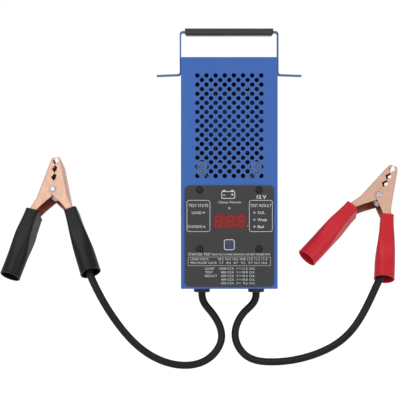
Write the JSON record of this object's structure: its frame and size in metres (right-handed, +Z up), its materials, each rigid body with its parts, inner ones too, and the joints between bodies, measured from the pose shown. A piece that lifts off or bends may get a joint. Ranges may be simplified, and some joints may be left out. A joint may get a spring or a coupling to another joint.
{
  "type": "battery tester",
  "caption": "Hand-held battery load tester: perforated folded steel case with digital display, strap handle with side ears, and two cable leads ending in toothed spring clamps.",
  "frame": {"origin": "centre of the flat back face of the case", "axes": "+X right and +Z up as the label is read, +Y out of the back"},
  "size_m": [0.4404, 0.0863, 0.375],
  "materials": {
    "blue_paint": "powder coat",
    "zinc": "zinc plated",
    "grip_rubber": "satin",
    "label": "matte",
    "window": "gloss",
    "digits": "matte",
    "key": "satin",
    "black_plastic": "satin",
    "display_body": "matte",
    "board": "satin",
    "ribbon": "heat tinted",
    "brass": "satin",
    "insulator": "matte",
    "wire": "gloss",
    "led": "gloss",
    "copper_plate": "satin copper plate",
    "black_sleeve": "gloss dipped",
    "red_sleeve": "gloss dipped",
    "cable_jacket": "satin",
    "copper": "stranded",
    "tinned": "tin plated",
    "grommet_rubber": "satin"
  },
  "bodies": {
    "case": {"bad_led": "led", "board_spacers": "black_plastic", "charging_led": "led", "circuit_board": "board", "controller_chip": "black_plastic", "display_digits": "digits", "display_module": "display_body", "display_window": "window", "front_shell": "blue_paint", "handle_grip": "grip_rubber", "handle_nuts": "zinc", "handle_screws": "zinc", "handle_strap": "blue_paint", "heat_shield": "insulator", "insulator_screws": "zinc", "load_led": "led", "load_nuts": "zinc", "load_relay": "black_plastic", "load_ribbon": "ribbon", "load_studs": "zinc", "lower_bracket": "zinc", "lower_insulator": "insulator", "negative_cable": "cable_jacket", "negative_cable_core": "copper", "negative_cable_crimp": "tinned", "negative_fixed_grip": "black_sleeve", "negative_fixed_jaw": "copper_plate", "negative_grommet": "grommet_rubber", "negative_pivot_rivet": "zinc", "negative_spring": "zinc", "negative_terminal": "tinned", "ok_led": "led", "overlay_plate": "label", "positive_cable": "cable_jacket", "positive_cable_core": "copper", "positive_cable_crimp": "tinned", "positive_fixed_grip": "red_sleeve", "positive_fixed_jaw": "copper_plate", "positive_grommet": "grommet_rubber", "positive_pivot_rivet": "zinc", "positive_spring": "zinc", "positive_terminal": "tinned", "rear_panel": "blue_paint", "rear_panel_screws": "zinc", "reverse_led": "led", "ribbon_tabs": "brass", "sense_wires": "wire", "snap_rivets": "black_plastic", "stud_sleeves": "insulator", "tact_switch": "black_plastic", "upper_bracket": "zinc", "upper_insulator": "insulator", "weak_led": "led"},
    "test_key": {"test_button": "key", "switch_plunger": "black_plastic"},
    "negative_jaw": {"negative_moving_jaw": "copper_plate", "negative_moving_grip": "black_sleeve"},
    "positive_jaw": {"positive_moving_jaw": "copper_plate", "positive_moving_grip": "red_sleeve"}
  },
  "joints": [
    {"name": "test_key_press", "type": "slide", "parent": "case", "child": "test_key", "axis": [0, 1, 0], "range_m": [0, 0.0005], "stiffness_N_per_m": 3000},
    {"name": "negative_clamp_open", "type": "hinge", "parent": "case", "child": "negative_jaw", "pos_m": [-0.1936, -0.01, -0.0226], "axis": [-0.1567, -0.8978, 0.4115], "range_deg": [0, 32], "deforming": ["negative_spring"]},
    {"name": "positive_clamp_open", "type": "hinge", "parent": "case", "child": "positive_jaw", "pos_m": [0.1671, -0.01, -0.0285], "axis": [0.0079, -0.904, 0.4274], "range_deg": [0, 32], "deforming": ["positive_spring"]}
  ]
}
